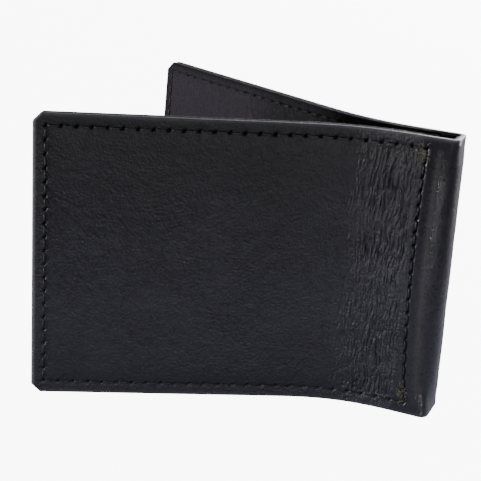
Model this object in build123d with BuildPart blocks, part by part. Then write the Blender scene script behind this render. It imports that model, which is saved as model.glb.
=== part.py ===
from build123d import *
import math
import os

os.makedirs("parts", exist_ok=True)

# Bifold wallet standing on its lower edges, half open.
# +Z runs up the wallet's height, +X points from the free edges towards the spine,
# the front half lies on -Y and the back half on +Y.  Millimetres.

# ---- driving dimensions ----
HEIGHT = 72.0           # height of every full-height panel
SPINE_WIDTH = 11.5      # outside width of the folded spine
HALF_LENGTH = 101.0     # spine's outside face to the free edge, measured along the panel
CREASE_R = 2.6          # outside radius of the two spine creases
FLEX_AT = 23.5          # distance from the spine's outside face to the flex line
FLEX_LENGTH = 14.0      # length of the curved zone about the flex line
FRONT_BEND = 28.0       # outward bend of the front half as it stands
BACK_BEND = 23.0        # outward bend of the back half as it stands
CORNER_CUT = 2.2        # clipped corners at the free edges

COVER = 1.45            # outside leather
BACKING = 1.20          # inside panel that carries the card pockets
POCKET = 0.75           # card pocket leather
LINING = 0.60           # strip behind the spine
PLY_GAP = 0.12          # slip space between plies
SKIVE_END = 8.4         # the backing is thinned up to here, over the lining's edge
PANEL_START = 4.0       # inside panels begin this far from the spine's outside face
UPPER_SLOT = 56.0       # mouth height of the upper card pocket
LOWER_SLOT = 47.0       # mouth height of the lower card pocket
SPLIT = 0.15            # half of the running gap at each crease and flex line

SEAM_INSET = 2.3        # stitch rows stand in from the edges
SPINE_SEAM = 7.5        # vertical stitch row beside the spine
STITCH_PITCH = 3.6
STITCH_LENGTH = 2.6
STITCH_WIDTH = 0.5
STITCH_RISE = 0.18

BACKING_D = COVER + PLY_GAP
UPPER_D = BACKING_D + BACKING + PLY_GAP
LOWER_D = UPPER_D + POCKET + PLY_GAP
STACK = LOWER_D + POCKET
LINING_D = COVER + PLY_GAP
ARC_START = FLEX_AT - FLEX_LENGTH / 2
ARC_END = FLEX_AT + FLEX_LENGTH / 2
SIDES = {"front": (-1, FRONT_BEND), "back": (1, BACK_BEND)}


def local(bend, s, d):
    """Plan position of a point s along the panel's outside face and d deep into the
    leather, as (distance in from the spine face, distance out from the mirror plane)."""
    a = math.radians(bend)
    r = FLEX_LENGTH / a
    q0 = SPINE_WIDTH / 2
    turn = a * min(max((s - ARC_START) / FLEX_LENGTH, 0), 1)
    p = min(s, ARC_START) + r * math.sin(turn)
    q = q0 + r * (1 - math.cos(turn))
    rest = max(s - ARC_END, 0)
    p += rest * math.cos(turn)
    q += rest * math.sin(turn)
    return p + d * math.sin(turn), q - d * math.cos(turn)


def free_corners(side):
    sign, bend = SIDES[side]
    outer = local(bend, HALF_LENGTH, -STITCH_RISE)
    inner = local(bend, HALF_LENGTH, STACK)
    return max(outer[0], inner[0]), sign * outer[1]


# the row's origin is the middle of the standing wallet's footprint
SPINE_X = max(free_corners("front")[0], free_corners("back")[0]) / 2
MIRROR_Y = -(free_corners("front")[1] + free_corners("back")[1]) / 2


def plan(side, p, q):
    return SPINE_X - p, MIRROR_Y + SIDES[side][0] * q


def at(side, s, d):
    return plan(side, *local(SIDES[side][1], s, d))


def band(side, s0, s1, d0, d1):
    """Closed outline of a ply between two depths, following flank, bend and half."""
    for d in (d0, d1):
        if s0 < ARC_START:
            Line(at(side, s0, d), at(side, min(s1, ARC_START), d))
        a0 = max(s0, ARC_START)
        a1 = min(s1, ARC_END)
        if a1 > a0:
            ThreePointArc(at(side, a0, d), at(side, (a0 + a1) / 2, d), at(side, a1, d))
        if s1 > ARC_END:
            Line(at(side, max(s0, ARC_END), d), at(side, s1, d))
    Line(at(side, s0, d0), at(side, s0, d1))
    Line(at(side, s1, d0), at(side, s1, d1))


def block(side, along, p0, p1, q0, q1):
    """Rectangle about the flex line: along is the direction, in degrees, of its length."""
    a = math.radians(along)
    base = local(SIDES[side][1], FLEX_AT, 0)
    corners = []
    for p, q in ((p0, q0), (p1, q0), (p1, q1), (p0, q1)):
        corners.append(plan(side, base[0] + p * math.cos(a) - q * math.sin(a),
                            base[1] + p * math.sin(a) + q * math.cos(a)))
    Polyline(*corners, close=True)


def panel_plane(side):
    """Plane lying in the half's outside face, its X along the panel, its Y up."""
    sign, bend = SIDES[side]
    a = math.radians(bend)
    x, y = at(side, HALF_LENGTH, 0)
    along = (-math.cos(a), sign * math.sin(a), 0)
    face = Vector(*along).cross(Vector(0, 0, 1))
    return Plane(origin=(x, y, 0), x_dir=along, z_dir=face)


def clip_corners(side):
    """Cut the small slanting corners at the free edge."""
    with BuildSketch(panel_plane(side)) as cut:
        with BuildLine():
            Polyline((0.5, -0.5), (-CORNER_CUT - 0.5, -0.5), (0.5, CORNER_CUT + 0.5), close=True)
        make_face()
        with BuildLine():
            Polyline((0.5, HEIGHT + 0.5), (-CORNER_CUT - 0.5, HEIGHT + 0.5),
                     (0.5, HEIGHT - CORNER_CUT - 0.5), close=True)
        make_face()
    extrude(cut.sketch, amount=12, both=True, mode=Mode.SUBTRACT)


def flank_ply(side, s0, d0, d1, top, skived=False):
    """Part of a ply from the spine side up to the flex line."""
    with BuildPart() as ply:
        with BuildSketch():
            with BuildLine():
                band(side, s0, ARC_END, d0, d1)
            make_face()
            with BuildLine():
                block(side, 0, -SPLIT, 40, -30, 30)
            make_face(mode=Mode.SUBTRACT)
            if skived:
                with BuildLine():
                    band(side, s0 - 1, SKIVE_END, d0 - 1, LINING_D + LINING + PLY_GAP)
                make_face(mode=Mode.SUBTRACT)
        extrude(amount=top)
    return ply


def half_ply(side, d0, d1, top):
    """Part of a ply from the flex line to the free edge."""
    with BuildPart() as ply:
        with BuildSketch():
            with BuildLine():
                band(side, ARC_START, HALF_LENGTH, d0, d1)
            make_face()
            with BuildLine():
                block(side, SIDES[side][1], -40, SPLIT, -30, 30)
            make_face(mode=Mode.SUBTRACT)
        extrude(amount=top)
        clip_corners(side)
    return ply


def crease_corner(side, d0, d1):
    """Quarter-round ply at a spine crease, from the spine strip into the flank."""
    ri = CREASE_R - d1
    ro = CREASE_R - d0
    cq = SPINE_WIDTH / 2 - CREASE_R
    k = math.sqrt(0.5)
    for r in (ri, ro):
        ThreePointArc(plan(side, CREASE_R - r, cq), plan(side, CREASE_R - r * k, cq + r * k),
                      plan(side, CREASE_R, cq + r))
    Line(plan(side, CREASE_R - ri, cq), plan(side, CREASE_R - ro, cq))
    Line(plan(side, CREASE_R, cq + ri), plan(side, CREASE_R, cq + ro))


def crease_cut(side, toward_flank):
    """Everything on one side of the slanting split through a crease."""
    sign = 1 if toward_flank else -1
    k = math.sqrt(0.5)
    centre = (CREASE_R, SPINE_WIDTH / 2 - CREASE_R)
    corners = []
    for along, across in ((-9, -SPLIT), (9, -SPLIT), (9, 20), (-9, 20)):
        p = centre[0] - along * k + sign * across * k
        q = centre[1] + along * k + sign * across * k
        corners.append(plan(side, p, q))
    Polyline(*corners, close=True)


def spine_ply(d0, d1):
    """Strip across the spine with half of each crease."""
    with BuildPart() as ply:
        with BuildSketch():
            for side in SIDES:
                with BuildLine():
                    crease_corner(side, d0, d1)
                make_face()
            with BuildLine():
                q = SPINE_WIDTH / 2 - CREASE_R
                Polyline(plan("front", d0, q), plan("back", d0, q),
                         plan("back", d1, q), plan("front", d1, q), close=True)
            make_face()
            for side in SIDES:
                with BuildLine():
                    crease_cut(side, True)
                make_face(mode=Mode.SUBTRACT)
        extrude(amount=HEIGHT)
    return ply


def crease_flank(side, s1, d0, d1, to_flex):
    """Flank ply that starts half-way round the crease."""
    with BuildPart() as ply:
        with BuildSketch():
            with BuildLine():
                crease_corner(side, d0, d1)
            make_face()
            with BuildLine():
                band(side, CREASE_R, s1, d0, d1)
            make_face()
            with BuildLine():
                crease_cut(side, False)
            make_face(mode=Mode.SUBTRACT)
            if to_flex:
                with BuildLine():
                    block(side, 0, -SPLIT, 40, -30, 30)
                make_face(mode=Mode.SUBTRACT)
        extrude(amount=HEIGHT)
    return ply


def save(ply, name):
    ply.part.label = name
    export_step(ply.part, f"parts/{name}.step")


# ---- outside cover: one sheet, in five zones that move against each other ----
save(spine_ply(0, COVER), "cover_spine")
save(spine_ply(LINING_D, LINING_D + LINING), "lining_spine")
for side in SIDES:
    save(crease_flank(side, ARC_END, 0, COVER, True), f"cover_{side}_flank")
    save(half_ply(side, 0, COVER, HEIGHT), f"cover_{side}_half")
    save(crease_flank(side, SKIVE_END - 0.1, LINING_D, LINING_D + LINING, False), f"lining_{side}")

# ---- inside panels and their card pockets ----
INSIDE = {
    "backing": (BACKING_D, BACKING_D + BACKING, HEIGHT),
    "upper_pocket": (UPPER_D, UPPER_D + POCKET, UPPER_SLOT),
    "lower_pocket": (LOWER_D, LOWER_D + POCKET, LOWER_SLOT),
}
for side in SIDES:
    for name, (d0, d1, top) in INSIDE.items():
        flank = flank_ply(side, PANEL_START, d0, d1, top, name == "backing")
        save(flank, f"{name}_{side}_flank")
        save(half_ply(side, d0, d1, top), f"{name}_{side}_half")


# ---- stitching: thread bars on the outside and inside faces of each half ----
def inside_depth(z):
    """Depth of the innermost ply's face at a height."""
    if z < LOWER_SLOT:
        return STACK
    if z < UPPER_SLOT:
        return UPPER_D + POCKET
    return BACKING_D + BACKING


def bar(side, s, z, depth, outside, upright):
    """One stitch lying on a face."""
    sign, bend = SIDES[side]
    turn = math.radians(bend) * min(max((s - ARC_START) / FLEX_LENGTH, 0), 1)
    lift = STITCH_RISE / 2
    if outside and not upright and ARC_START < s + STITCH_LENGTH / 2 and s < ARC_END + STITCH_LENGTH / 2:
        lift += STITCH_LENGTH ** 2 / 8 * math.radians(bend) / FLEX_LENGTH  # clear of the hollow face
    mid = depth - lift if outside else depth + lift
    x, y = at(side, s, mid)
    along = (-math.cos(turn), sign * math.sin(turn), 0)
    place = Plane(origin=(x, y, z), x_dir=along, z_dir=(0, 0, 1))
    size = (STITCH_WIDTH, STITCH_LENGTH) if upright else (STITCH_LENGTH, STITCH_WIDTH)
    with Locations(place):
        Box(size[0], STITCH_RISE, size[1])


def row(start, end):
    """Evenly spaced stitch centres between two corners of the seam."""
    count = round((end - start) / STITCH_PITCH)
    step = (end - start) / count
    return [start + step * (i + 0.5) for i in range(count)]


LEVELS = row(SEAM_INSET, HEIGHT - SEAM_INSET)
STATIONS = row(SPINE_SEAM, HALF_LENGTH - SEAM_INSET)
CLEAR = STITCH_LENGTH / 2 + 0.5


def seam(side, zone, outside):
    """All stitches of one face that lie on the flank or on the half."""
    ends = [s for s in STATIONS if (s < FLEX_AT - CLEAR if zone == "flank" else s > FLEX_AT + CLEAR)]
    edge = SPINE_SEAM if zone == "flank" else HALF_LENGTH - SEAM_INSET
    with BuildPart() as thread:
        for s in ends:
            for z in (SEAM_INSET, HEIGHT - SEAM_INSET):
                bar(side, s, z, 0 if outside else inside_depth(z), outside, False)
        for z in LEVELS:
            mouth = min(abs(z - UPPER_SLOT), abs(z - LOWER_SLOT))
            if outside or mouth > STITCH_LENGTH / 2:
                bar(side, edge, z, 0 if outside else inside_depth(z), outside, True)
    return thread


for side in SIDES:
    for zone in ("flank", "half"):
        save(seam(side, zone, True), f"stitches_{side}_{zone}_outside")
        save(seam(side, zone, False), f"stitches_{side}_{zone}_inside")
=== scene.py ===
import math
import bpy
import numpy as np
from mathutils import Matrix, Vector


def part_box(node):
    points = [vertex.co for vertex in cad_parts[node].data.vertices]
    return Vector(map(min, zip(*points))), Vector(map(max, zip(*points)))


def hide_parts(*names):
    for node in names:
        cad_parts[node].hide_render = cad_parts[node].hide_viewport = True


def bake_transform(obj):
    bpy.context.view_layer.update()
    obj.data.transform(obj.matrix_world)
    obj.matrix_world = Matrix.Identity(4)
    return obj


# Bifold wallet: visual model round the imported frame. Lengths in this script are millimetres
# unless a comment says otherwise, turned into metres only when a mesh is made.
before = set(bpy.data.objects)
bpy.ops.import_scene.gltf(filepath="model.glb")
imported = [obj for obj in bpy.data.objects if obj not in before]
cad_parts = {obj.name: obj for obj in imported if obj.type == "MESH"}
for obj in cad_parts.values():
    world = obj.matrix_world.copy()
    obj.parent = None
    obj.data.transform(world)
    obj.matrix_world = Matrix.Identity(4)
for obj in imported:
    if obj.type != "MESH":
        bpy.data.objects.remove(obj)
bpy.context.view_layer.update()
MM = 0.001
RNG = np.random.default_rng(7)

# ---- the wallet's measures, in line with the CAD ----
# A station s is a distance from the spine's face towards the free edge.
spine_lo, spine_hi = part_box("cover_spine")
SPINE_X = spine_hi.x / MM                        # outside face of the spine
MIRROR_Y = (spine_lo.y + spine_hi.y) / 2 / MM    # plane between the halves
SIGN = {"front": -1, "back": 1}                  # each side's direction from that plane
HEIGHT = spine_hi.z / MM
WIDTH = 11.5                                     # outside width of the spine
LENGTH = 101.0                                   # station of the free edge
CORNER = 2.2                                     # cut off the corners at the free edge

CREASE_R = 2.2                                   # radius of the creases at their ends
ROUND = {"front": 1.0, "back": 0.12}             # between the ends each crease opens into a round nose
ROUND_IN = 9.0                                   # within this distance of the ends
NOSE = 8.2                                       # station where the nose meets the flat flank
NOSE_SHAPE = 1.25                                # above 1 the nose turns more near the spine's middle
SPLIT = 6.4                                      # station where the cover is divided at the crease
FLEX_0, FLEX_1 = SPLIT, 40.6                     # the leather bends between these stations
BEND = {"front": (28, 28), "back": (21.4, 25.3)}     # degrees outwards, at the foot and at the top
PINCH = {"front": 0.0, "back": 3.2}              # how far each flank leans in at the top

COVER_T = 1.45
LINING = (1.57, 2.15)                            # depths of each ply's two faces
BACKING = (1.53, 2.77)
UPPER = (2.89, 3.64, 56.0)                       # and the height of the pockets' mouths
LOWER = (3.76, 4.51, 47.0)
LINING_END = 8.3                                 # station where the lining ends, under the backing
LINING_INSET = 0.4                               # the lining stops this short of the foot and the top
PANEL_START = 5.5                                # station where the inside plies begin
SKIVED = 2.23                                    # depth of the backing's outer face over the lining's edge
SKIVE_END, SKIVE_RUN = 9.6, 1.2                  # it is back at full thickness here, over this distance

SEAM_OUT = 8.1                                   # station of the stitch row beside the spine
SEAM_Z, SEAM_BOW = 46.3, 0.00103                 # at this height, from which the row bows

U_ARC0 = WIDTH / 2 - CREASE_R                    # u: distance along the outside face
U_ARC1 = U_ARC0 + CREASE_R * math.pi / 2         # from the middle of the spine
U_END = U_ARC1 + LENGTH - CREASE_R
UV_SIZE = 100                                    # length of one unit of the plies' uv maps


def u_of(s):
    """Distance along the outside face for a station s."""
    return U_ARC1 + s - CREASE_R


def s_of(u):
    """Station for a distance u along the outside face."""
    return u - U_ARC1 + CREASE_R


def seam_at(z):
    """Station of the stitch row beside the spine at height z."""
    return SEAM_OUT - SEAM_BOW * (z - SEAM_Z) ** 2


def smooth(t):
    """0 below 0 and 1 above 1, with a smooth step between."""
    t = np.clip(t, 0, 1)
    return t * t * (3 - 2 * t)


# ---- plan curve of each side's outside face ----
U_TAB = np.linspace(0, U_END + 4, 1500)
Z_TAB = np.linspace(0, HEIGHT, 25)


def plan_table(side):
    """For each height p in from the spine's face, q out from the mirror plane, and heading."""
    nose = U_TAB < u_of(NOSE)
    t = np.clip(U_TAB / u_of(NOSE), 0, 1)
    # headings of a spine with tight creases and of one that is round all the way
    tight = math.pi / 2 - np.clip((U_TAB - U_ARC0) / CREASE_R, 0, math.pi / 2)
    round_nose = math.pi / 2 * (1 - t) ** NOSE_SHAPE
    step = np.diff(U_TAB, prepend=0.0)
    s = s_of(U_TAB)
    rows = []
    for z in Z_TAB:
        f = z / HEIGHT
        bend = math.radians(BEND[side][0] + (BEND[side][1] - BEND[side][0]) * f)
        half = (WIDTH - PINCH["back"] * f) / 2
        mid = -PINCH["back"] * f / 2 * SIGN[side]
        share = ROUND[side] * smooth(min(z, HEIGHT - z) / ROUND_IN)
        face = tight + share * (round_nose - tight)
        # the nose is scaled to end at the station NOSE on the flank
        p, q = np.cumsum(step * np.cos(face)), np.cumsum(step * np.sin(face))
        p, q = p * NOSE / p[nose][-1], q * half / q[nose][-1]
        head = bend * smooth((s - FLEX_0) / (FLEX_1 - FLEX_0))
        p = np.where(nose, p, NOSE + np.cumsum(np.where(nose, 0, step * np.cos(head))))
        q = np.where(nose, q, half + np.cumsum(np.where(nose, 0, step * np.sin(head))))
        face = np.arctan2(np.gradient(q), np.gradient(p))
        face[0] = math.pi / 2
        rows.append(np.stack([p, q + mid, face]))
    return np.array(rows)


TABLES = {side: plan_table(side) for side in SIGN}


def place(side, u, z, d):
    """Points of the row frame, in mm, at u along the face, height z and depth d."""
    u, z, d = np.broadcast_arrays(np.asarray(u, float), z, d)
    table = TABLES[side]
    iu = np.clip(u / U_TAB[1], 0, len(U_TAB) - 1.001)
    iz = np.clip(z / Z_TAB[1], 0, len(Z_TAB) - 1.001)
    u0, z0 = iu.astype(int), iz.astype(int)
    fu, fz = iu - u0, iz - z0
    out = []
    for k in range(3):
        t = table[:, k]
        a = t[z0, u0] * (1 - fu) + t[z0, u0 + 1] * fu
        b = t[z0 + 1, u0] * (1 - fu) + t[z0 + 1, u0 + 1] * fu
        out.append(a * (1 - fz) + b * fz)
    p, q, face = out
    p = p + d * np.sin(face)
    q = q - d * np.cos(face)
    return np.stack([SPINE_X - p, MIRROR_Y + SIGN[side] * q, z], -1)


def make_mesh(name, verts, faces, uv=None, values=()):
    """Object from arrays: verts in mm, quads, a uv per vertex and named values per vertex."""
    mesh = bpy.data.meshes.new(name)
    verts = np.asarray(verts, float) * MM
    faces = np.asarray(faces, np.int32)
    n = faces.shape[1]
    mesh.vertices.add(len(verts))
    mesh.vertices.foreach_set("co", verts.astype(np.float32).ravel())
    mesh.loops.add(faces.size)
    mesh.loops.foreach_set("vertex_index", faces.ravel())
    mesh.polygons.add(len(faces))
    mesh.polygons.foreach_set("loop_start", np.arange(0, faces.size, n, dtype=np.int32))
    mesh.update(calc_edges=True)
    if uv is not None:
        layer = mesh.uv_layers.new(name="UVMap")
        layer.data.foreach_set("uv", np.asarray(uv, np.float32)[faces.ravel()].ravel())
    for key, value in dict(values).items():
        data = mesh.attributes.new(key, "FLOAT", "POINT").data
        data.foreach_set("value", np.asarray(value, np.float32))
    mesh.polygons.foreach_set("use_smooth", np.ones(len(faces), bool))
    mesh.validate()
    mesh.set_sharp_from_angle(angle=math.radians(60))
    mesh.update()
    obj = bpy.data.objects.new(name, mesh)
    bpy.context.scene.collection.objects.link(obj)
    return obj


def oriented(verts, faces):
    """Quads turned so that the closed mesh encloses a positive volume."""
    a, b, c, d = (verts[faces[:, k]] for k in range(4))
    vol = np.einsum("ij,ij->", a, np.cross(b, c)) + np.einsum("ij,ij->", a, np.cross(c, d))
    return faces if vol > 0 else faces[:, ::-1]


FINEST = 0.2                                     # gap of grid lines at a mark
WIDENING = 0.6                                   # how fast the gaps widen away from it


def lines(a, b, step, marks=(), reach=0.4, dense=()):
    """Grid lines from a to b: step apart, closer near each mark and in each dense stretch."""
    at = [a]
    marks = np.array([a, b, *marks])
    while at[-1] < b:
        near = np.abs(at[-1] - marks).min()
        gap = max(FINEST, min(step, FINEST + (near - reach) * WIDENING))
        for lo, hi, small in dense:
            if lo < at[-1] < hi:
                gap = min(gap, small)
        at.append(at[-1] + gap)
    at = np.array(at)
    return a + (at - a) * (b - a) / (at[-1] - a)


# quarter round of a ply's edge, in steps: share of its radius inwards and in depth
ARC = [(1 - math.sin(a), 1 - math.cos(a)) for a in (math.pi / 6, math.pi / 3, math.pi / 2)]
EDGE_REACH = 1.1                                 # how far "edge" reaches from the edges
DENT_FADE = 0.5                                  # dents fade out over this distance at the round edge
FAR_SHIFT = (7, 3)                               # the two faces take their grain from different places


def ply(name, side, us, zs, near, far, r=0.4, butt_a=False, butt_b=False, corners=True,
        dent=None, far_dent=None, outside=False):
    """One leather ply as a closed, round-edged sheet that follows the wallet's side.

    us and zs are its grid lines, near and far its faces' depths (near may depend on u), and r
    the radius of its edges. A butt end is cut square, where another piece goes on. dent and
    far_dent press the faces in. The mesh keeps three values for the materials: rim is 1 on the
    cut edge, edge is 1 beside it, and crest is 1 along the crest of an outside face, which is
    painted rubbed grey and with a painted highlight.
    """
    u_a, u_b, foot, top = us[0], us[-1], zs[0], zs[-1]
    nu, nz = len(us), len(zs)

    def domain(inset):
        """u and z of the whole grid, drawn in by inset from the edges and the cut corners."""
        lo = u_a + (0 if butt_a else inset)
        hi = u_b - (0 if butt_b else inset)
        uu = lo + (us - u_a) * (hi - lo) / (u_b - u_a)
        cut = np.clip(CORNER + (math.sqrt(2) - 1) * inset - (u_b - uu), 0, None) if corners else uu * 0
        top_cut = cut if top > HEIGHT - 0.5 else cut * 0
        low, high = foot + inset + cut, top - inset - top_cut
        t = (zs - foot) / (top - foot)
        return np.repeat(uu[:, None], nz, 1), low[:, None] + t[None] * (high - low)[:, None]

    uu, zz = domain(r)
    side_gap = np.minimum(np.inf if butt_a else uu - u_a, np.inf if butt_b else u_b - uu)
    edge = np.minimum(np.minimum(zz - foot, top - zz), side_gap)
    fade = smooth((edge - r) / DENT_FADE)
    d_near = near(uu) if callable(near) else near + uu * 0
    d_far = far + uu * 0
    if dent:
        d_near = d_near + dent(uu, zz) * fade
    if far_dent:
        d_far = d_far - far_dent(uu, zz) * fade
    verts, uvs, rims, edges, crests = [], [], [], [], []

    def add(u, z, d, tu, tz, rim, gap):
        """Points at (u, z, d) that take their grain from (tu, tz), gap inside the edge."""
        verts.append(place(side, u, z, d).reshape(-1, 3))
        uvs.append(np.stack([SIGN[side] * tu.ravel() / UV_SIZE, tz.ravel() / UV_SIZE], -1))
        rims.append(np.full(tu.size, rim))
        edges.append(np.exp(-np.maximum(gap, 0).ravel() / EDGE_REACH))
        crests.append(crest(tu, tz).ravel() if outside else np.zeros(tu.size))

    add(uu, zz, d_near, uu, zz, 0.0, edge - r)
    ring_i = np.concatenate([np.arange(nu), np.full(nz - 1, nu - 1), np.arange(nu - 2, -1, -1),
                             np.zeros(nz - 2, int)])
    ring_j = np.concatenate([np.zeros(nu, int), np.arange(1, nz), np.full(nu - 1, nz - 1),
                             np.arange(nz - 2, 0, -1)])
    a, b = d_near[ring_i, ring_j], d_far[ring_i, ring_j]
    reach = np.minimum(r, 0.45 * (b - a))
    # the edge goes round from the near face to the far one, and the grain runs on over it
    turns = [(inset, depth, (k + 1) / len(ARC)) for k, (inset, depth) in enumerate(ARC)]
    rings = [(r * inset, a + reach * depth, rim) for inset, depth, rim in turns]
    rings += [(0.0, (a + b) / 2, 1.0)]
    rings += [(r * inset, b - reach * depth, rim) for inset, depth, rim in turns[::-1]]
    walk, last = 0.0, (r, a)
    for inset, depth, rim in rings:
        ru, rz = domain(inset)
        walk += math.hypot(inset - last[0], float(np.mean(depth - last[1])))
        last = (inset, depth)
        tu, tz = domain(r - walk)
        add(ru[ring_i, ring_j], rz[ring_i, ring_j], depth, tu[ring_i, ring_j], tz[ring_i, ring_j],
            rim, np.zeros(len(ring_i)))
    add(uu, zz, d_far, uu + FAR_SHIFT[0], zz + FAR_SHIFT[1], 0.0, edge - r)

    n, m = nu * nz, len(ring_i)
    idx = np.arange(n).reshape(nu, nz)
    quad = np.stack([idx[:-1, :-1], idx[1:, :-1], idx[1:, 1:], idx[:-1, 1:]], -1).reshape(-1, 4)
    loops = [idx[ring_i, ring_j]]
    loops += [n + k * m + np.arange(m) for k in range(len(rings))]
    loops += [n + len(rings) * m + idx[ring_i, ring_j]]
    faces = [quad, (n + len(rings) * m + quad)[:, ::-1]]
    for a, b in zip(loops[:-1], loops[1:]):
        faces.append(np.stack([a, b, np.roll(b, -1), np.roll(a, -1)], -1))
    verts = np.concatenate(verts)
    values = {"rim": np.concatenate(rims), "edge": np.concatenate(edges), "crest": np.concatenate(crests)}
    return make_mesh(name, verts, oriented(verts, np.concatenate(faces)), np.concatenate(uvs), values)


# ---- relief of the leather ----
PITCH = 3.55                                     # from hole to hole
INSETS = {"front": 3.0, "back": 2.3}             # stitch rows from the edges
GROOVE, SEAM_GROOVE, HOLE = 0.07, 0.24, 0.90     # depths
GROOVE_R, SHOULDER, SHOULDER_R = 0.55, 0.06, 1.3     # half widths of the groove and its soft shoulder
HOLE_SLANT, HOLE_R = 0.35, (0.27, 0.40)          # the holes' slant, and half sizes across and along
SEAM_END = 0.5                                   # the grooves run this far past their last holes
PUFF, PUFF_RUN = 0.16, 4                         # the face swells inside the seam, over this distance
FLUSH = 0.05                                     # the whole face lies this much deeper
FIELD_SIZE = 64                                  # cells of a random field before it repeats

# depth, width and length of the wrinkles, how narrow their valleys are, and the random seed
WRINKLES = ((0.33, 0.55, 4.2, 1.5, 5), (0.28, 0.35, 2.6, 1.5, 6))
WRINKLED_FROM, WRINKLED_TO = 8.9, 28.5           # stations where they begin and fade out
CREST, CREST_R = 3.6, 0.85                       # the bead's crest, painted rubbed grey and highlit, from the seam, and its half width
RIPPLE_AT, RING_AT = 3.2, (3.4, 59.5)            # station of the spine's ripples; a pressed ring's centre


def seam_layout(inset):
    """Places of the stitch holes: two rows along, one column at the free edge and one by the spine."""
    rows = (inset, HEIGHT - inset)
    outer = LENGTH - inset
    n_along = round((outer - SEAM_OUT) / PITCH)
    n_up = round((rows[1] - rows[0]) / PITCH)
    holes_s = {row: np.linspace(seam_at(row), outer, n_along + 1) for row in rows}
    return dict(rows=rows, outer=outer, holes_z=np.linspace(*rows, n_up + 1), holes_s=holes_s)


SEAMS = {side: seam_layout(INSETS[side]) for side in SIGN}


def stitch_dent(across, along, step, inside, groove):
    """Depth of a stitched groove with its slanted holes; inside is 1 along the row."""
    near = (along + step / 2) % step - step / 2
    slant = across + HOLE_SLANT * near
    out = groove * np.exp(-(across / GROOVE_R) ** 2) + SHOULDER * np.exp(-(across / SHOULDER_R) ** 2)
    out += HOLE * np.exp(-(slant ** 2 / HOLE_R[0] ** 2 + near ** 2 / HOLE_R[1] ** 2))
    return out * inside


def seam_dent(side, s, z):
    """Depth of all the stitched grooves of one side."""
    rows, outer, holes_z, holes_s = SEAMS[side].values()
    col = seam_at(z)
    in_s = smooth((s - col + SEAM_END) / SEAM_END) * smooth((outer + SEAM_END - s) / SEAM_END)
    in_z = smooth((z - rows[0] + SEAM_END) / SEAM_END) * smooth((rows[1] + SEAM_END - z) / SEAM_END)
    out = np.zeros_like(s)
    for row in rows:
        step = holes_s[row][1] - holes_s[row][0]
        out = np.maximum(out, stitch_dent(z - row, s - holes_s[row][0], step, in_s, GROOVE))
    step = holes_z[1] - holes_z[0]
    for at, groove in ((col, SEAM_GROOVE), (outer, GROOVE)):
        out = np.maximum(out, stitch_dent(s - at, z - rows[0], step, in_z, groove))
    return out


def field(x, y, seed):
    """Smooth random field of about -1..1 with unit cells."""
    table = np.random.default_rng(seed).uniform(-1, 1, (FIELD_SIZE, FIELD_SIZE))
    xi, yi = np.floor(x).astype(int), np.floor(y).astype(int)
    fx, fy = smooth(x - xi), smooth(y - yi)

    def at(i, j):
        return table[i % FIELD_SIZE, j % FIELD_SIZE]

    low = at(xi, yi) * (1 - fx) + at(xi + 1, yi) * fx
    high = at(xi, yi + 1) * (1 - fx) + at(xi + 1, yi + 1) * fx
    return low * (1 - fy) + high * fy


def streaks(x, y, seed):
    """Like field, but each column of cells is shifted along y, so that no rows line up."""
    table = np.random.default_rng(seed).uniform(-1, 1, (FIELD_SIZE, FIELD_SIZE))
    xi = np.floor(x).astype(int)
    fx = smooth(x - xi)

    def column(k):
        along = y + 0.618 * k
        yi = np.floor(along).astype(int)
        fy = smooth(along - yi)
        low, high = table[k % FIELD_SIZE, yi % FIELD_SIZE], table[k % FIELD_SIZE, (yi + 1) % FIELD_SIZE]
        return low * (1 - fy) + high * fy

    return column(xi) * (1 - fx) + column(xi + 1) * fx


def soft_waves(x, z):
    """Slow unevenness of leather."""
    return 0.07 * field(x / 11, z / 9, 1) + 0.03 * field(x / 4.5, z / 3.8, 2)


def valleys(n, sharp):
    """1 along a field's zero lines and 0 at its peaks."""
    return (1 - np.abs(n)) ** sharp


def bend_wrinkles(x, s, z):
    """Dense upright wrinkles where the outside of the leather is squeezed by the bend."""
    lean = s - seam_at(z) + SEAM_OUT
    warp = 0.5 * field(x / 5, z / 5.5, 3) + 0.20 * field(x / 2, z / 2.4, 4)
    across = (lean + warp) * np.where(x < 0, -1.0, 1.0)
    deep, fine = (depth * valleys(streaks(across / width, z / length, seed), sharp)
                  for depth, width, length, sharp, seed in WRINKLES)
    patchy = 0.75 + 0.4 * field(x / 4, z / 7, 8)
    start = smooth((s - WRINKLED_FROM) / 1.6)
    end = smooth((WRINKLED_TO + 3.0 * field(z / 6, z * 0, 9) - s) / 13)
    return (deep + fine) * patchy * start * end * smooth((HEIGHT - 3.2 - z) / 1.5) * smooth((z - 3) / 1.5)


def crest(u, z):
    """1 along the crest of the bead beside the spine's seam, which is painted rubbed grey and highlit."""
    across = (s_of(u) - seam_at(z) + CREST) / CREST_R
    return np.exp(-across ** 2) * smooth((HEIGHT - 1.5 - z) / 3) * smooth((z - 2) / 6)


def spine_relief(x, s, z):
    """Fine cross ripples on the rounded spine, and the front's pressed ring near the top."""
    ripple = 0.018 * field(x / 2.2, z / 0.55, 10) * np.exp(-((s - RIPPLE_AT) / 2.2) ** 2)
    ring = np.hypot((s - RING_AT[0]) / 1.3, (z - RING_AT[1]) / 2.6)
    ring = 0.03 * np.cos(ring * 7) * np.exp(-ring ** 2)
    return ripple + ring * (x < 0)


def cover_dent(side):
    """Relief of a cover's outside face."""
    inset = INSETS[side]

    def dent(u, z):
        x, s = SIGN[side] * u, s_of(u)
        to_seam = np.abs(s - seam_at(z)) + inset
        inside = np.minimum(np.minimum(z, HEIGHT - z), np.minimum(LENGTH - s, to_seam))
        puff = PUFF * smooth((inside - inset) / PUFF_RUN)
        seam = seam_dent(side, s, z) - puff + FLUSH
        return seam + soft_waves(x, z) + bend_wrinkles(x, s, z) + spine_relief(x, s, z)
    return dent


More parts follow.
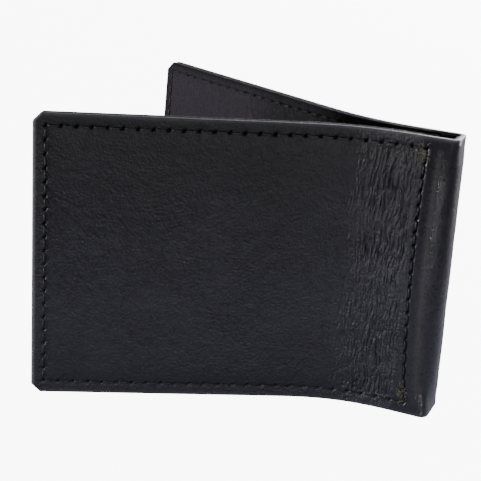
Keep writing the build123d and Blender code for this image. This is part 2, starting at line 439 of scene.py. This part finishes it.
def inner_dent(side, bottom_z):
    """Seam groove on the inside face of the ply that shows above bottom_z."""
    def dent(u, z):
        shows = smooth((z - bottom_z) / 0.5) if bottom_z > 0 else np.ones_like(z)
        sewn = seam_dent(side, s_of(u), z) * shows * (s_of(u) > PANEL_START + 0.5)
        return sewn + 0.03 * field(u / 3, z / 3, 12)
    return dent


def flex(piece, side):
    """Bake the piece's transform into its mesh. The ends of the bend are worked out, but nothing uses them.
    """
    ends = [place(side, u_of(s), 0.0, COVER_T)[:2] * MM for s in (FLEX_0, FLEX_1)]
    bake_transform(piece)


def fold(piece):
    """Bake the piece's transform into its mesh. The back crease leans with the pinch."""
    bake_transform(piece)


# ---- the leather plies ----
COVER_STEP, CREASE_STEP, LINING_STEP, INSIDE_STEP = 0.45, 0.25, (0.4, 0.5), 0.55     # gaps of grid lines
# stretches of the cover with closer grid lines, for the bead and for the wrinkles
DENSE = [(u_of(SPLIT), u_of(SEAM_OUT + 0.6), 0.2), (u_of(SEAM_OUT), u_of(27), 0.115)]


def backing_near(u):
    """Depth of the backing's outer face: skived where it laps over the lining."""
    return BACKING[0] + (SKIVED - BACKING[0]) * smooth((SKIVE_END - s_of(u)) / SKIVE_RUN)


# key, depths of the faces, height of the mouth or edge, and how far up the next ply hides it
INSIDE_PLIES = (("backing", backing_near, BACKING[1], HEIGHT, UPPER[2]),
                ("upper_pocket", *UPPER, LOWER[2]),
                ("lower_pocket", *LOWER, 0.0))


def outside_plies(side):
    """Cover in two pieces, parted at the split beside the crease, and the strip of lining."""
    dent = cover_dent(side)
    hole_u = [u_of(s) for s in SEAMS[side]["holes_s"][SEAMS[side]["rows"][1]]]
    cover_z = lines(0.0, HEIGHT, COVER_STEP, marks=SEAMS[side]["holes_z"])
    cover_u = lines(u_of(SPLIT), U_END, COVER_STEP, marks=hole_u, dense=DENSE)
    cover = ply(f"cover_{side}_panel", side, cover_u, cover_z, 0, COVER_T,
                r=0.30, butt_a=True, dent=dent, outside=True)
    flex(cover, side)
    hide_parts(f"cover_{side}_half", f"cover_{side}_flank")
    crease = ply(f"cover_{side}_crease", side, lines(0.0, u_of(SPLIT), CREASE_STEP), cover_z, 0, COVER_T,
                 r=0.30, butt_a=True, butt_b=True, corners=False, dent=dent, outside=True)
    fold(crease)
    lining_u = lines(0.0, u_of(LINING_END), LINING_STEP[0])
    lining_z = lines(LINING_INSET, HEIGHT - LINING_INSET, LINING_STEP[1])
    lining = ply(f"lining_{side}_strip", side, lining_u, lining_z, *LINING,
                 r=0.15, butt_a=True, corners=False)
    fold(lining)
    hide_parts(f"lining_{side}")
    if side == "front":
        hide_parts("cover_spine")
        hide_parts("lining_spine")
    return dict(cover=cover, crease=crease, lining=lining)


def inside_plies(side):
    """Backing and two card pockets, one behind the other."""
    made = {}
    hole_u = [u_of(s) for s in SEAMS[side]["holes_s"][SEAMS[side]["rows"][1]]]
    inside_u = lines(u_of(PANEL_START), U_END, INSIDE_STEP, marks=hole_u, reach=0.3)
    for key, near, far, top, hidden in INSIDE_PLIES:
        marks = [z for z in SEAMS[side]["holes_z"] if z < top]
        inside_z = lines(0.0, top, INSIDE_STEP, marks=marks, reach=0.3)
        panel = ply(f"{key}_{side}_panel", side, inside_u, inside_z, near, far,
                    r=0.32, far_dent=inner_dent(side, hidden))
        flex(panel, side)
        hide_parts(f"{key}_{side}_half", f"{key}_{side}_flank")
        made[key] = panel
    return made


pieces = {side: outside_plies(side) | inside_plies(side) for side in SIGN}


# ---- stitches ----
THREAD_R, FIBRE_R = 0.22, 0.085
TWIST = 1.5                                      # length of one turn of the two-ply thread
SHOWS_FROM, SHOWS = 0.11, 0.78                   # where a stitch's thread shows, in shares of its length
SUNK, DIVE = 0.03, 0.62                          # how deep its middle lies, and how much deeper its ends
JITTER = 0.05                                    # unevenness of the holes
FIBRE_POINTS, FIBRE_STEP = 9, 0.16
FIBRE_LIFT, FIBRE_CURL = (0.08, 0.35), 0.45      # how high a loose fibre arches, and its turn at a step
# cut thread ends at the top and foot of the front's seam: station, height, spread and fibres
FRAYED = ((8.4, 68.0, (0.8, 1.2), 30), (6.8, 5.5, (0.5, 1.7), 24))


def tubes(name, paths, radius, sides=8, lobes=0.0):
    """One mesh of separate closed tubes; each path is (n, 3) points. lobes make it a two-ply twist."""
    verts, faces = [], []
    base = 0
    ang = np.linspace(0, 2 * math.pi, sides, endpoint=False)
    for path in paths:
        path = np.asarray(path, float)
        n = len(path)
        tan = np.gradient(path, axis=0)
        tan /= np.linalg.norm(tan, axis=1)[:, None]
        ref = np.array([0.3, 0.2, 0.93]) if abs(tan[n // 2][2]) < 0.8 else np.array([0.93, 0.3, 0.2])
        across = np.cross(tan, ref)
        across /= np.linalg.norm(across, axis=1)[:, None]
        up = np.cross(across, tan)
        taper = np.sin(np.linspace(0.12, math.pi - 0.12, n)) ** 0.25
        walk = np.concatenate([[0], np.cumsum(np.linalg.norm(np.diff(path, axis=0), axis=1))])
        twist = 2 * math.pi * walk / TWIST
        rr = radius * taper[:, None] * (1 + lobes * np.cos(2 * (ang[None] - twist[:, None])))
        ring = path[:, None] + rr[..., None] * (np.cos(ang)[None, :, None] * across[:, None]
                                                + np.sin(ang)[None, :, None] * up[:, None])
        verts.append(ring.reshape(-1, 3))
        i = base + np.arange(n * sides).reshape(n, sides)
        wall = [i[:-1], i[1:], np.roll(i[1:], -1, 1), np.roll(i[:-1], -1, 1)]
        faces.append(np.stack(wall, -1).reshape(-1, 4))
        for end in (i[0], i[-1][::-1]):
            faces.append([(end[k], end[k + 1], end[sides - 2 - k], end[sides - 1 - k])
                          for k in range(sides // 2 - 1)])
        base += n * sides
    verts = np.concatenate(verts)
    return make_mesh(name, verts, oriented(verts, np.concatenate(faces)))


def stitch_path(side, a, b, face, outside):
    """Thread from hole a to hole b, each (s, z), on a face at that depth; it dives at both ends."""
    t = np.linspace(0, 1, 19)
    s = a[0] + (b[0] - a[0]) * (SHOWS_FROM + SHOWS * t)
    z = a[1] + (b[1] - a[1]) * (SHOWS_FROM + SHOWS * t)
    sunk = SUNK + DIVE * np.abs(2 * t - 1) ** 4
    return place(side, u_of(s), z, face + sunk if outside else face - sunk)


def face_depth(z):
    """Depth of the inside face that shows at height z."""
    return LOWER[1] if z < LOWER[2] else (UPPER[1] if z < UPPER[2] else BACKING[1])


def seam_paths(side, outside):
    """Threads of one side's whole seam, on its outside or its inside face."""
    rows, outer, holes_z, holes_s = SEAMS[side].values()
    runs = []
    for row in rows:
        runs += [((a, row), (b, row)) for a, b in zip(holes_s[row][:-1], holes_s[row][1:])]
    for a, b in zip(holes_z[:-1], holes_z[1:]):
        runs += [((seam_at(a), a), (seam_at(b), b)), ((outer, a), (outer, b))]
    out = []
    for a, b in runs:
        face = 0.0 if outside else face_depth((a[1] + b[1]) / 2)
        off = RNG.normal(0, JITTER, 4)
        from_hole, to_hole = (a[0] + off[0], a[1] + off[1]), (b[0] + off[2], b[1] + off[3])
        out.append(stitch_path(side, from_hole, to_hole, face, outside))
    return out


def fray(side, s, z, spread, count):
    """Loose fibres of a cut thread end, lying over the leather about (s, z)."""
    out = []
    for _ in range(count):
        at = np.array([s, z]) + RNG.normal(0, 1, 2) * spread
        way = RNG.uniform(0, 2 * math.pi)
        lift = RNG.uniform(*FIBRE_LIFT)
        line = []
        for k in range(FIBRE_POINTS):
            line.append((at[0], at[1], -0.05 - lift * math.sin(math.pi * k / (FIBRE_POINTS - 1))))
            way += RNG.normal(0, FIBRE_CURL)
            at = at + np.array([math.cos(way), math.sin(way)]) * FIBRE_STEP
        line = np.array(line)
        out.append(place(side, u_of(line[:, 0]), line[:, 1], line[:, 2]))
    return out


for side in SIGN:
    for outside in (True, False):
        word = "outside" if outside else "inside"
        thread = tubes(f"thread_{side}_{word}", seam_paths(side, outside), THREAD_R, lobes=0.14)
        flex(thread, side)
        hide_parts(f"stitches_{side}_half_{word}", f"stitches_{side}_flank_{word}")
        pieces[side][f"thread_{word}"] = thread
ends = [fibre for end in FRAYED for fibre in fray("front", *end)]
frayed = tubes("thread_front_ends", ends, FIBRE_R, sides=4)
flex(frayed, "front")
pieces["front"]["frayed"] = frayed


# ---- materials ----
class Nodes:
    """Short forms for building one material's node tree."""

    def __init__(self, tree):
        self.tree = tree

    def add(self, kind, **values):
        made = self.tree.nodes.new(kind)
        for key, value in values.items():
            if key in made.inputs.keys():
                self.feed(value, made.inputs[key])
            else:
                setattr(made, key, value)
        return made

    def feed(self, value, socket):
        if isinstance(value, bpy.types.NodeSocket):
            self.tree.links.new(value, socket)
        else:
            socket.default_value = value

    def math(self, op, a, b=0.0, clamp=False):
        made = self.add("ShaderNodeMath", operation=op, use_clamp=clamp)
        self.feed(a, made.inputs[0])
        self.feed(b, made.inputs[1])
        return made.outputs[0]

    def total(self, *terms):
        """Sum of (socket, weight) pairs."""
        out = self.math("MULTIPLY", *terms[0])
        for socket, weight in terms[1:]:
            out = self.plus(out, socket, weight)
        return out

    def plus(self, base, socket, weight):
        made = self.add("ShaderNodeMath", operation="MULTIPLY_ADD")
        self.feed(socket, made.inputs[0])
        made.inputs[1].default_value = weight
        self.feed(base, made.inputs[2])
        return made.outputs[0]

    def ramp(self, value, lo, hi):
        """0 at lo and 1 at hi, smoothly."""
        made = self.add("ShaderNodeMapRange", interpolation_type="SMOOTHSTEP", Value=value)
        made.inputs["From Min"].default_value = lo
        made.inputs["From Max"].default_value = hi
        return made.outputs[0]

    def mix(self, fac, a, b):
        made = self.add("ShaderNodeMix", data_type="RGBA")
        for value, socket in ((fac, made.inputs[0]), (a, made.inputs[6]), (b, made.inputs[7])):
            self.feed((*value, 1) if isinstance(value, tuple) else value, socket)
        return made.outputs[2]

    def scaled(self, vector, sx, sy):
        made = self.add("ShaderNodeMapping", Vector=vector)
        made.inputs["Scale"].default_value = (sx, sy, 1)
        return made.outputs[0]

    def noise(self, vector, scale, detail=2.0, rough=0.55):
        return self.add("ShaderNodeTexNoise", Vector=vector, Scale=scale, Detail=detail,
                        Roughness=rough).outputs["Fac"]

    def value(self, name):
        return self.add("ShaderNodeAttribute", attribute_name=name).outputs["Fac"]

    def bump(self, height, strength, distance):
        return self.add("ShaderNodeBump", Strength=strength, Distance=distance, Height=height).outputs[0]


def new_material(name):
    mat = bpy.data.materials.new(name)
    mat.use_nodes = True
    mat.node_tree.nodes.clear()
    n = Nodes(mat.node_tree)
    out = n.add("ShaderNodeOutputMaterial")
    bsdf = n.add("ShaderNodeBsdfPrincipled")
    mat.node_tree.links.new(bsdf.outputs[0], out.inputs[0])
    return mat, n, bsdf


def uv_mm(n):
    """The ply's own surface coordinates: distance along the wallet and height, both in mm."""
    tex = n.add("ShaderNodeUVMap", uv_map="UVMap")
    return n.scaled(tex.outputs[0], UV_SIZE, UV_SIZE)


def grain_height(n, mm, pebble):
    """Pebbled grain with finer pores between, about 0..1."""
    warp = n.add("ShaderNodeVectorMath", operation="MULTIPLY_ADD")
    wander = n.add("ShaderNodeTexNoise", Vector=mm, Scale=0.9, Detail=2.0)
    n.tree.links.new(wander.outputs["Color"], warp.inputs[0])
    warp.inputs[1].default_value = (0.8, 0.8, 0)
    n.tree.links.new(mm, warp.inputs[2])
    cells = n.add("ShaderNodeTexVoronoi", Vector=warp.outputs[0], Scale=1 / pebble)
    return n.total((cells.outputs["Distance"], -0.8), (n.noise(mm, 0.9 / pebble, 3, 0.65), 1.3))


def patched(n, mm, grainy, along, dark, light, free_end_light, foot):
    """Soft patches between dark and light, and painted light that makes them paler
    towards the free edge by free_end_light and towards the foot by foot.
    """
    patches = n.total((n.noise(mm, 0.07, 2), 0.9), (n.noise(mm, 0.38, 3, 0.6), 0.8), (grainy, 0.7))
    # painted light and shade: paler towards the free edge, where more light falls, darker towards the spine,
    # where the other half shades it
    if free_end_light:
        patches = n.plus(patches, n.ramp(along, 50.0, 100.0), free_end_light)
    # painted light: the face is painted paler towards the foot, for the light thrown up from the floor
    if foot:
        up = n.add("ShaderNodeSeparateXYZ", Vector=mm).outputs[1]
        patches = n.plus(patches, n.ramp(up, 75.0, 0.0), foot)
    return n.mix(n.ramp(patches, 0.45 + 0.4 * foot, 1.45 + free_end_light / 2 + 0.85 * foot), dark, light)


def painted(n, mm, along, color, edge, rubbed_edge, line, outside):
    """Paint on the cut edges. It also greys the face beside them by line, and an outside face's free edge."""
    if line:
        color = n.mix(n.math("MULTIPLY", n.math("POWER", n.value("edge"), 3.0), line), color, edge)
    if outside:
        free_edge = n.ramp(along, U_END - 1.0, U_END - 0.35)
        color = n.mix(n.math("MULTIPLY", free_edge, 0.5), color, edge)
    paint = n.ramp(n.value("rim"), 0.2, 0.9)
    paint = n.math("MULTIPLY", paint, n.ramp(n.noise(mm, 1.4, 4, 0.7), 0.1, 0.6))
    return n.mix(paint, color, n.mix(n.ramp(along, 26.0, 12.0), edge, rubbed_edge))


def rubbed_crest_and_highlight(n, mm, color, grey):
    """Rubbed grey along the bead's crest, broken by cross ripples, which is also a painted highlight there.
    """
    ripple = n.ramp(n.noise(n.scaled(mm, 0.25, 1.3), 1.0, 3, 0.6), 0.25, 0.7)
    rubbed = n.math("MULTIPLY", n.value("crest"), n.plus(0.45, ripple, 0.55))
    return n.mix(rubbed, color, grey)


def dusty(n, mm, color, share):
    """Pale specks in parts of the face, more of it with a larger share."""
    specks = n.add("ShaderNodeTexVoronoi", Vector=mm, Scale=0.6)
    near = n.math("LESS_THAN", specks.outputs["Distance"], 0.06)
    some = n.math("GREATER_THAN", n.noise(mm, 0.37, 2), 1 - share)
    return n.mix(n.math("MULTIPLY", near, some), color, DUST_GREY)


def worn_through(n, mm, color, x, z, size):
    """Paler ragged patch about (x, z)."""
    gap = n.add("ShaderNodeVectorMath", operation="DISTANCE")
    n.tree.links.new(mm, gap.inputs[0])
    gap.inputs[1].default_value = (x, z, 0)
    patch = n.plus(n.ramp(gap.outputs["Value"], size, 0.2), n.noise(mm, 1.6, 4, 0.7), 0.9)
    return n.mix(n.ramp(patch, 0.9, 1.15), color, WORN_GREY)


def leather(name, dark, light, rough, edge, rubbed_edge=(0.10, 0.10, 0.10), pebble=0.62, grain=1.0,
            relief=0.00015, line=0.0, shade=0.0, dust=0.0, free_end_light=0.0, foot=0.0, polish=0.0, wrinkle=0.0,
            outside=False, worn=None, crest_grey_and_highlight=None):
    """Black leather between the colours dark and light.

    edge is the paint of its cut edges, and rubbed_edge that paint near the spine. pebble is the size
    of the grain in mm, grain its strength and relief its height in metres. line says how far the
    paint greys the face beside the edges, shade how far painted shade darkens the face there, dust
    how much of it has specks, free_end_light how much painted light makes it paler towards the free
    edge, foot how much painted light, thrown up from the floor, makes it paler towards the foot,
    polish how much smoother it is beside the spine, and wrinkle how much finer wrinkling the bend
    has. worn is a worn patch (x, z, size), and crest_grey_and_highlight the colour of the bead's
    crest, rubbed grey and a painted highlight.
    """
    mat, n, bsdf = new_material(name)
    mm = uv_mm(n)
    grainy = grain_height(n, mm, pebble)
    along = n.math("ABSOLUTE", n.add("ShaderNodeSeparateXYZ", Vector=mm).outputs[0])

    color = patched(n, mm, grainy, along, dark, light, free_end_light, foot)
    # painted shade: the face is darkened beside its edges, where the plies lie over one another
    if shade:
        color = n.mix(n.math("MULTIPLY", n.value("edge"), shade), color, dark)
    color = painted(n, mm, along, color, edge, rubbed_edge, line, outside)
    # the bead's crest: rubbed grey and a painted highlight
    if crest_grey_and_highlight:
        color = rubbed_crest_and_highlight(n, mm, color, crest_grey_and_highlight)
    if dust:
        color = dusty(n, mm, color, dust)
    if worn:
        color = worn_through(n, mm, color, *worn)
    n.tree.links.new(color, bsdf.inputs["Base Color"])

    roughness = n.total((n.noise(mm, 0.9, 3, 0.6), 0.20), (n.value("rim"), 0.08), (grainy, 0.12))
    roughness = n.math("ADD", roughness, rough - 0.13, clamp=True)
    roughness = n.plus(roughness, n.ramp(along, u_of(10.0), u_of(7.5)), -polish)
    if crest_grey_and_highlight:
        roughness = n.math("SUBTRACT", roughness, n.math("MULTIPLY", n.value("crest"), 0.16))
    n.tree.links.new(roughness, bsdf.inputs["Roughness"])
    bsdf.inputs["Specular IOR Level"].default_value = 0.5

    height = n.total((grainy, 1.0), (n.noise(mm, 0.42, 2), 1.6))
    if outside:
        # the bead beside the spine is stretched smoother
        height = n.math("MULTIPLY", height, n.plus(0.3, n.ramp(along, u_of(7.0), u_of(9.0)), 0.7))
    if wrinkle:
        streak = n.noise(n.scaled(mm, 1.0, 0.20), 1.7, 3, 0.65)
        begins, fades = n.ramp(along, u_of(8.0), u_of(11.0)), n.ramp(along, u_of(30.0), u_of(19.0))
        streak = n.math("MULTIPLY", streak, n.math("MULTIPLY", begins, fades))
        height = n.math("ADD", height, n.math("MULTIPLY", streak, 3.5 * wrinkle))
    n.tree.links.new(n.bump(height, min(1.0, 0.9 * grain), relief), bsdf.inputs["Normal"])
    return mat


def thread_material(name, dark, light, rough):
    """Thread of fine fibres between the colours dark and light."""
    mat, n, bsdf = new_material(name)
    where = n.add("ShaderNodeTexCoord").outputs["Object"]
    strands = n.noise(where, 5.2 / MM, 2)
    n.tree.links.new(n.mix(strands, dark, light), bsdf.inputs["Base Color"])
    bsdf.inputs["Roughness"].default_value = rough
    n.tree.links.new(n.bump(strands, 0.6, 0.00006), bsdf.inputs["Normal"])
    return mat


DUST_GREY = (0.16, 0.16, 0.17)
WORN_GREY = (0.42, 0.42, 0.41)
EDGE_PAINT = (0.30, 0.30, 0.31)
RUBBED_EDGE = (0.50, 0.50, 0.50)
# foot paints the covers paler towards the foot: painted light from the floor
BLACK = dict(dark=(0.0012, 0.0010, 0.0036), light=(0.0275, 0.0270, 0.0370), rough=0.42, edge=EDGE_PAINT,
             rubbed_edge=RUBBED_EDGE, line=0.20, dust=0.33, foot=1.3, polish=0.10, outside=True,
             # the crest's colour is rubbed grey and a painted highlight
             crest_grey_and_highlight=(0.050, 0.050, 0.049))
WORN_AT = (-U_ARC0 + 0.6, HEIGHT - 0.4, 2.6)     # on the spine by its front corner, at the top
FINISH = {
    "cover": (leather("cover_leather", **BLACK, wrinkle=1.0), "cover_leather"),
    "crease": (leather("crease_leather", **BLACK, grain=0.8, worn=WORN_AT), "cover_leather"),
    "lining": (leather("lining_leather", dark=(0.008, 0.0075, 0.008), light=(0.020, 0.019, 0.020),
                       rough=0.6, edge=EDGE_PAINT, grain=0.6), "lining_leather"),
    # the inside faces are painted paler towards their free edge and darker by the spine: painted light and
    # shade
    "inside": (leather("inside_leather", dark=(0.0010, 0.0008, 0.0010), light=(0.052, 0.044, 0.054),
                       rough=0.70, edge=(0.10, 0.097, 0.10), pebble=0.5, relief=0.00060, shade=0.9,
                       dust=0.25, free_end_light=1.2), "inside_leather"),
    "thread": (thread_material("waxed_thread", (0.006, 0.006, 0.007), (0.036, 0.036, 0.040), 0.36), "thread"),
    "frayed": (thread_material("frayed_thread", (0.020, 0.018, 0.012), (0.30, 0.27, 0.19), 0.7), "thread"),
}

# each piece takes the material of its kind
for made in pieces.values():
    for key, obj in made.items():
        kind = "thread" if key.startswith("thread") else key if key in FINISH else "inside"
        material, slot = FINISH[kind]
        obj.data.materials.append(material)

# ---- floor and background ----
BACKDROP = 9.0                                   # what the camera sees of floor and background
WORLD = 0.060                                    # what the wallet sees of the background
FLOOR_R = 3000
corners = [(-FLOOR_R, -FLOOR_R, 0), (FLOOR_R, -FLOOR_R, 0), (FLOOR_R, FLOOR_R, 0), (-FLOOR_R, FLOOR_R, 0)]
floor = make_mesh("floor", corners, [(0, 1, 2, 3)])
material, n, bsdf = new_material("floor_white")
bsdf.inputs["Base Color"].default_value = (0.45, 0.45, 0.46, 1)
bsdf.inputs["Roughness"].default_value = 0.9
bsdf.inputs["Specular IOR Level"].default_value = 0.1
bsdf.inputs["Emission Color"].default_value = (1, 1, 1, 1)
seen = n.add("ShaderNodeLightPath").outputs["Is Camera Ray"]
n.tree.links.new(n.math("MULTIPLY", seen, BACKDROP), bsdf.inputs["Emission Strength"])
floor.data.materials.append(material)

world = bpy.data.worlds.new("studio")
bpy.context.scene.world = world
world.use_nodes = True
n = Nodes(world.node_tree)
sky = world.node_tree.nodes["Background"]
sky.inputs[0].default_value = (0.94, 0.94, 1.0, 1)
seen = n.add("ShaderNodeLightPath").outputs["Is Camera Ray"]
glow = n.math("ADD", n.math("MULTIPLY", seen, BACKDROP), WORLD)
n.tree.links.new(glow, sky.inputs[1])


# ---- light ----
def area(name, place_at, aim, size, power, spread=180):
    """Rectangular light: place, aim and size in metres, power in watts, spread in degrees."""
    light = bpy.data.lights.new(name, "AREA")
    light.shape = "RECTANGLE"
    light.size, light.size_y = size
    light.energy = power
    light.color = (0.94, 0.93, 1.0)
    light.spread = math.radians(spread)
    obj = bpy.data.objects.new(name, light)
    bpy.context.scene.collection.objects.link(obj)
    obj.location = place_at
    obj.rotation_euler = (Vector(aim) - Vector(place_at)).to_track_quat("-Z", "Y").to_euler()


area("top_light", (0.02, -0.11, 0.08), (0.02, -0.11, 0), (0.15, 0.05), 0.065)
area("left_light", (-0.52, -0.41, 0.04), (0, 0, 0.04), (0.08, 0.08), 2.9)
area("right_light", (0.44, -0.50, 0.12), (0, 0, 0.03), (0.07, 0.24), 0.72)
area("back_light", (0.25, 0.75, 0.34), (0, 0, 0.05), (0.9, 0.35), 12.0)
area("side_light", (0.62, 0.42, 0.04), (0.04, 0, 0.04), (0.25, 0.06), 4.0)
area("bead_light", (0.28, -0.52, 0.02), (0.100, 0, 0.062), (0.02, 0.02), 0.0145, spread=17)

# ---- camera ----
CAM_OUT, CAM_BACK, CAM_UP = 60.705, 283.415, 142.19     # from the spine's face, the mirror plane, the floor
CAM_YAW, CAM_PITCH, CAM_ROLL = 0.389232, 0.33648, 0.064541     # radians
SENSOR, LENS = 36.0, 92.88898                    # mm

flat = Vector((-math.sin(CAM_YAW), math.cos(CAM_YAW), 0))
right = Vector((math.cos(CAM_YAW), math.sin(CAM_YAW), 0))
forward = flat * math.cos(CAM_PITCH) + Vector((0, 0, -math.sin(CAM_PITCH)))
up = right.cross(forward)
rolled_right = right * math.cos(CAM_ROLL) + up * math.sin(CAM_ROLL)
rolled_up = up * math.cos(CAM_ROLL) - right * math.sin(CAM_ROLL)
stand = Matrix((rolled_right, rolled_up, -forward)).transposed().to_4x4()
stand.translation = Vector((SPINE_X + CAM_OUT, MIRROR_Y - CAM_BACK, CAM_UP)) * MM
data = bpy.data.cameras.new("camera")
data.sensor_width = SENSOR
data.lens = LENS
data.clip_start = 0.01
camera = bpy.data.objects.new("camera", data)
bpy.context.scene.collection.objects.link(camera)
camera.matrix_world = stand
bpy.context.scene.camera = camera

bpy.context.view_layer.update()
